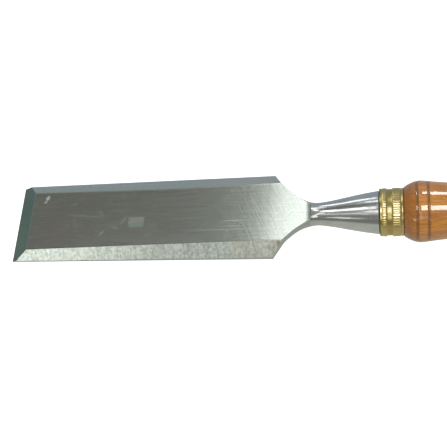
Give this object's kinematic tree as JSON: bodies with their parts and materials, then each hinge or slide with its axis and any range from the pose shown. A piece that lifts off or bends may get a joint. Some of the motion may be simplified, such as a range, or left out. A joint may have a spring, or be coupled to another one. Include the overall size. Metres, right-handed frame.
{
  "type": "bench chisel",
  "caption": "Bevel-edge bench chisel: flat-backed steel blade with forged neck, bolster and tang, knurled brass ferrule and turned wooden handle.",
  "frame": {"origin": "middle of the cutting edge, on the flat back of the blade", "axes": "+X from the cutting edge along the tool to the butt of the handle, +Y across the blade, +Z out of the bevelled side, with the flat back in Z = 0"},
  "size_m": [0.3, 0.038, 0.0288],
  "materials": {
    "tool_steel": "surface-ground faces, polished neck and bolster",
    "ferrule_brass": "turned and knurled, lightly polished",
    "handle_wood": "reddish-orange stain under gloss lacquer, with scorched rings"
  },
  "bodies": {
    "root": {"blade": "tool_steel", "ferrule": "ferrule_brass", "handle": "handle_wood"}
  },
  "joints": []
}
